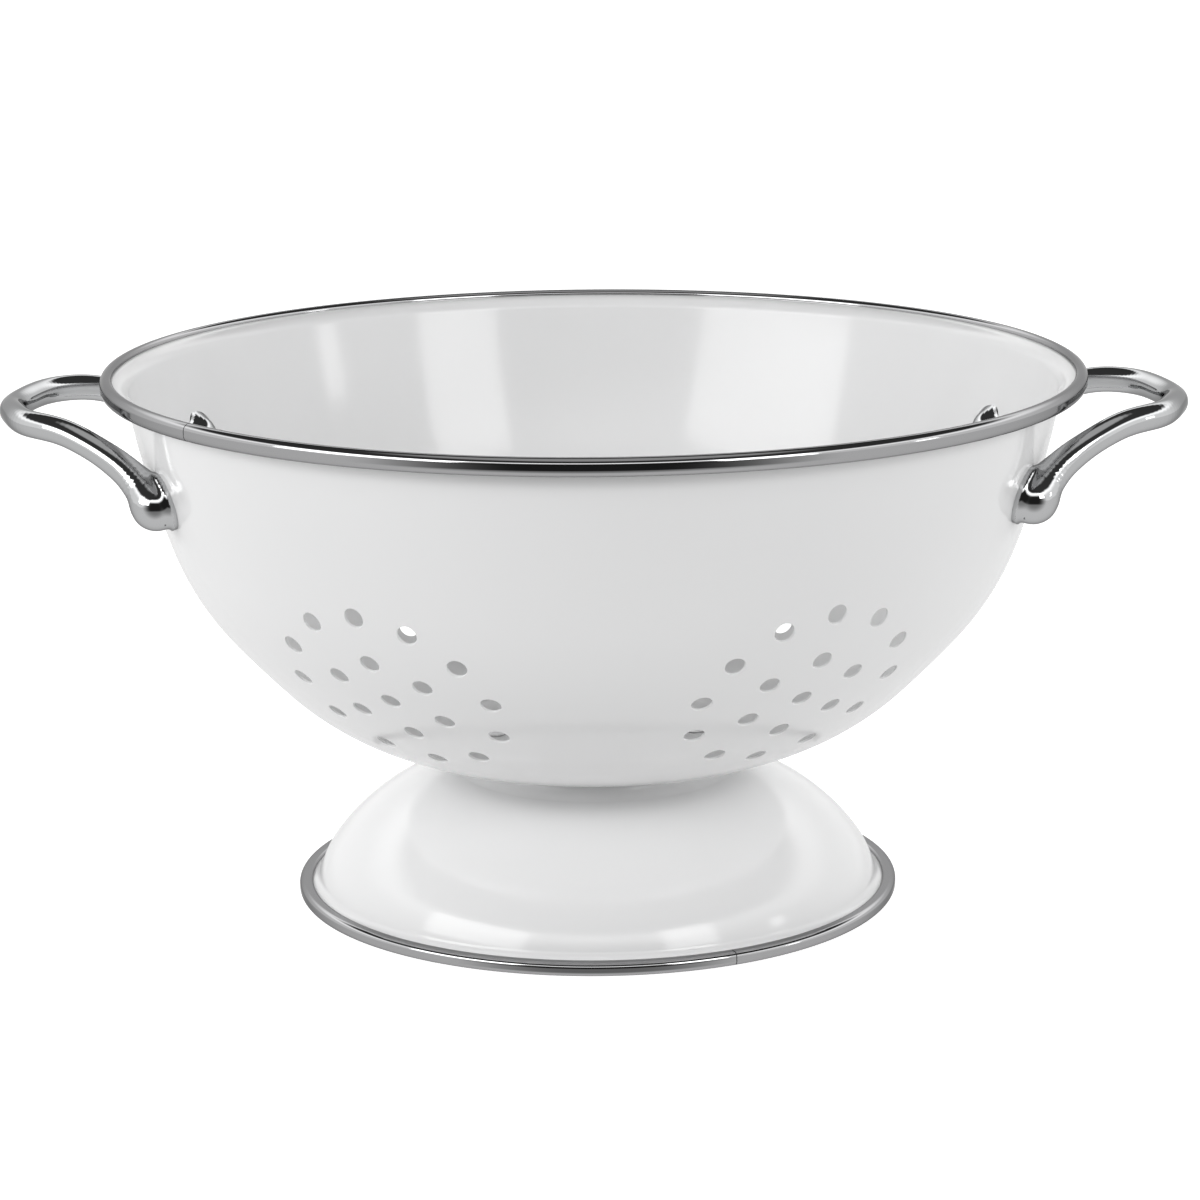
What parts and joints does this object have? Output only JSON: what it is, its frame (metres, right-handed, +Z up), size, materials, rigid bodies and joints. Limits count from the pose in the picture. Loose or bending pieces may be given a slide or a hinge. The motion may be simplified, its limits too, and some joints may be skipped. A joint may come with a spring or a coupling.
{
  "type": "footed colander",
  "caption": "Footed round colander with a perforated bowl, banded rim and foot, and two cast side handles, for draining and rinsing food",
  "frame": {"origin": "centre of the foot, on the ground that it stands on", "axes": "+Z up through the middle of the bowl, +X through the right-hand handle, -Y towards the viewer of the picture"},
  "size_m": [0.3516, 0.29, 0.16],
  "materials": {
    "white_enamel": "glossy fired white enamel on sheet steel",
    "steel_band": "mirror-polished stainless strip",
    "chromed_casting": "bright chrome plate on a casting",
    "rivet_steel": "polished domed rivet head"
  },
  "bodies": {
    "root": {"bowl": "white_enamel", "foot": "white_enamel", "rim_band": "steel_band", "foot_band": "steel_band", "left_handle": "chromed_casting", "right_handle": "chromed_casting", "handle_rivets": "rivet_steel"}
  },
  "joints": []
}
